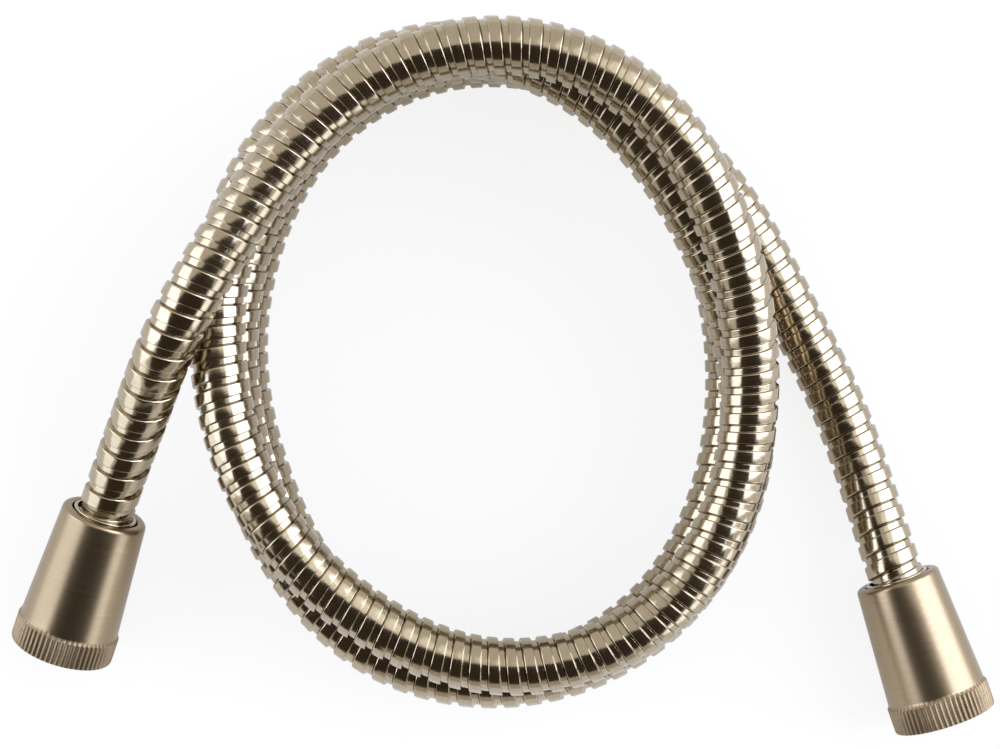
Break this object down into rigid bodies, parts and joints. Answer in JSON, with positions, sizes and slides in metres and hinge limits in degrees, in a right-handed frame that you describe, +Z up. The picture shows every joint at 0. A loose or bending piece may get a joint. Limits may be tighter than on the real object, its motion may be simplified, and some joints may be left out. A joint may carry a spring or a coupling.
{
  "type": "shower hose",
  "caption": "Stripwound metal shower hose in a loose coil, with a conical union nut with a knurled rim turning on each end.",
  "frame": {"origin": "on the table, midway between the two union nuts", "axes": "+X from the left nut to the right nut, +Y from the nuts towards the coil, +Z up"},
  "size_m": [0.2477, 0.1777, 0.0577],
  "materials": {
    "casing": "polished stainless strip with a warm champagne nickel tint",
    "nut": "satin brushed champagne nickel plating on brass",
    "ferrule": "bright champagne nickel plating on brass",
    "tail": "bare turned brass",
    "tube": "matt grey rubber",
    "washer": "matt black rubber",
    "bearing": "natural acetal"
  },
  "bodies": {
    "hose": {"outer_hose": "casing", "inner_tube": "tube", "left_tail": "tail", "left_ferrule": "ferrule", "left_washer": "washer", "right_tail": "tail", "right_ferrule": "ferrule", "right_washer": "washer"},
    "left_slide": {"left_bearing": "bearing"},
    "left_swivel": {"left_nut": "nut"},
    "right_slide": {"right_bearing": "bearing"},
    "right_swivel": {"right_nut": "nut"}
  },
  "joints": [
    {"name": "left_nut_slide", "type": "slide", "parent": "hose", "child": "left_slide", "axis": [0.3326, 0.9179, 0.2164], "range_m": [0, 0.005]},
    {"name": "left_nut_turn", "type": "hinge", "parent": "left_slide", "child": "left_swivel", "pos_m": [-0.11177, -0.00822, 0.01258], "axis": [-0.3326, -0.9179, -0.2164], "continuous": true},
    {"name": "right_nut_slide", "type": "slide", "parent": "hose", "child": "right_slide", "axis": [-0.327, 0.945, 0], "range_m": [0, 0.008]},
    {"name": "right_nut_turn", "type": "hinge", "parent": "right_slide", "child": "right_swivel", "pos_m": [0.11176, -0.02604, 0.013], "axis": [0.327, -0.945, 0], "continuous": true}
  ]
}
